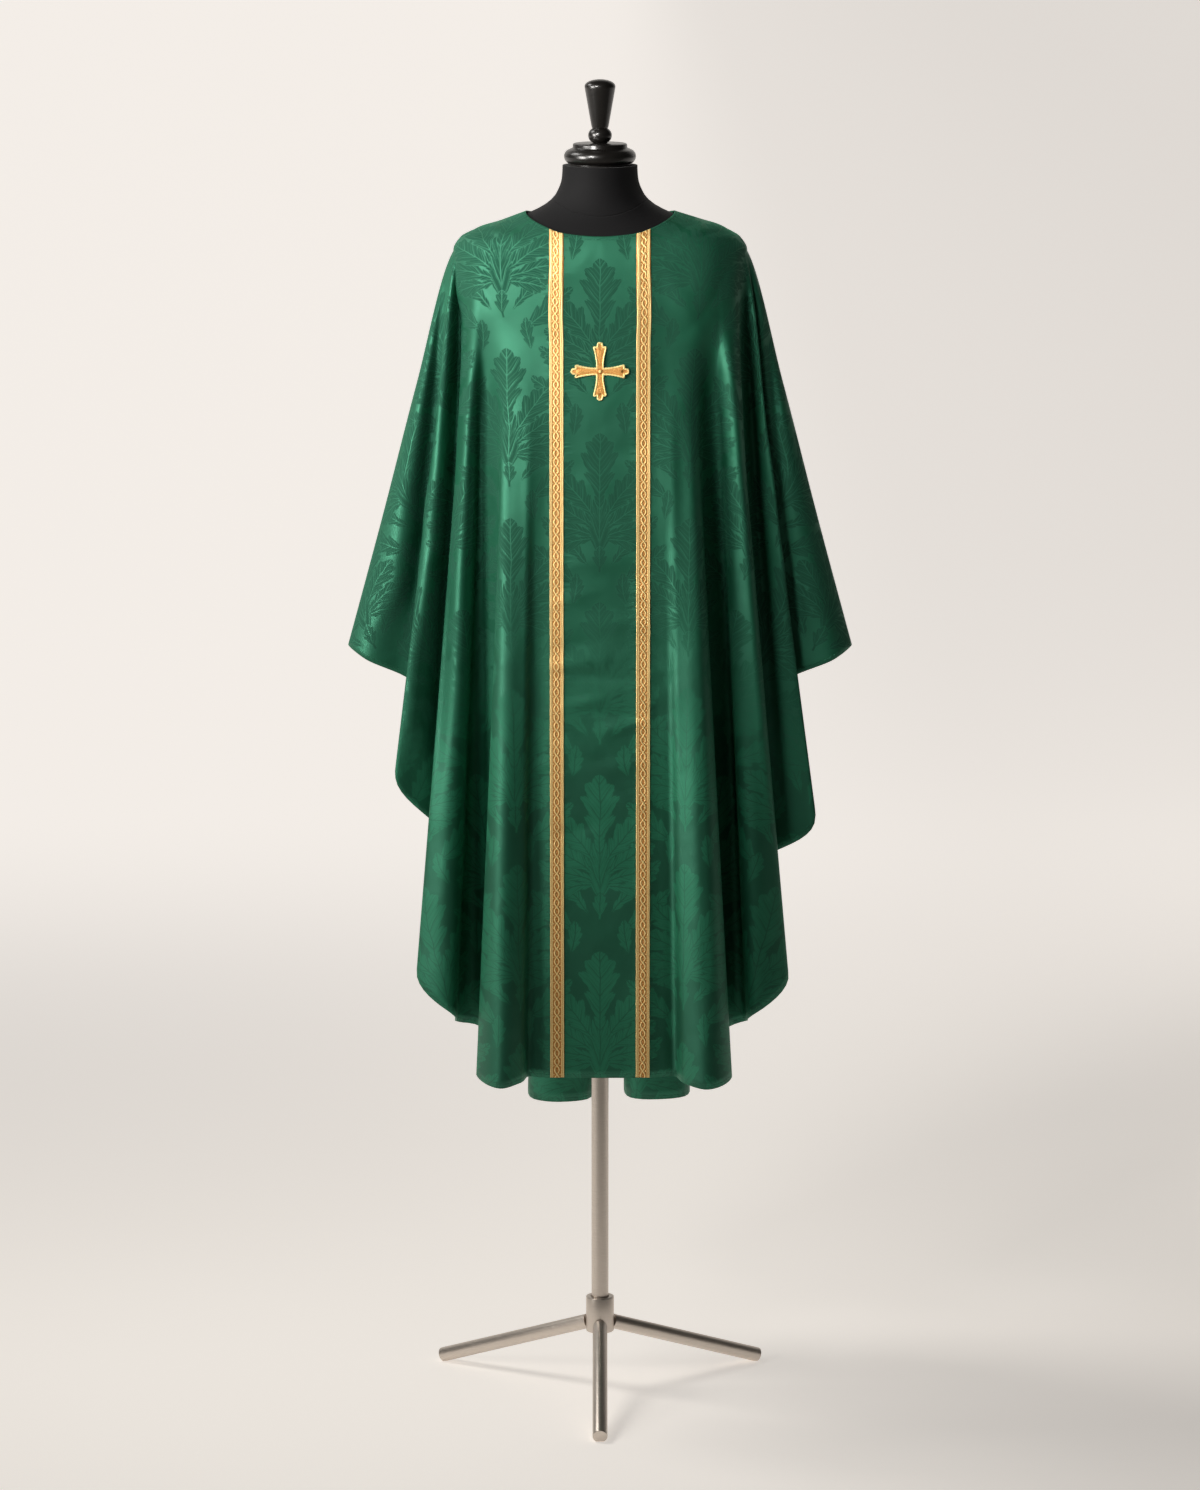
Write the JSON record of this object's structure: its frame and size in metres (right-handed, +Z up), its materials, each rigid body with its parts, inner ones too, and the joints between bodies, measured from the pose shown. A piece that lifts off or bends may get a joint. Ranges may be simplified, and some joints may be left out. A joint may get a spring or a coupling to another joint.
{
  "type": "gothic chasuble on a dress form",
  "caption": "Wide gothic chasuble of green damask with gold galloons and a cross, falling in deep folds over a limbless dress form on a pole with splayed legs.",
  "frame": {"origin": "on the pole's axis at floor level, under the middle of the part", "axes": "+Z up; the front with the cross faces -Y; +X is the wearer's left"},
  "size_m": [0.7438, 0.5533, 1.9671],
  "materials": {
    "damask": "satin-ground damask",
    "gold_braid": "metallic gold thread",
    "black_jersey": "smooth matt jersey",
    "black_lacquer": "gloss lacquer over turned wood",
    "steel": "satin brushed"
  },
  "bodies": {
    "root": {"chasuble_front": "damask", "chasuble_back": "damask", "galloon_left": "gold_braid", "galloon_right": "gold_braid", "cross": "gold_braid", "form_body": "black_jersey", "neck_cap": "black_lacquer", "finial": "black_lacquer", "pole": "steel", "hub": "steel", "leg_front": "steel", "leg_left": "steel", "leg_right": "steel"}
  },
  "joints": []
}
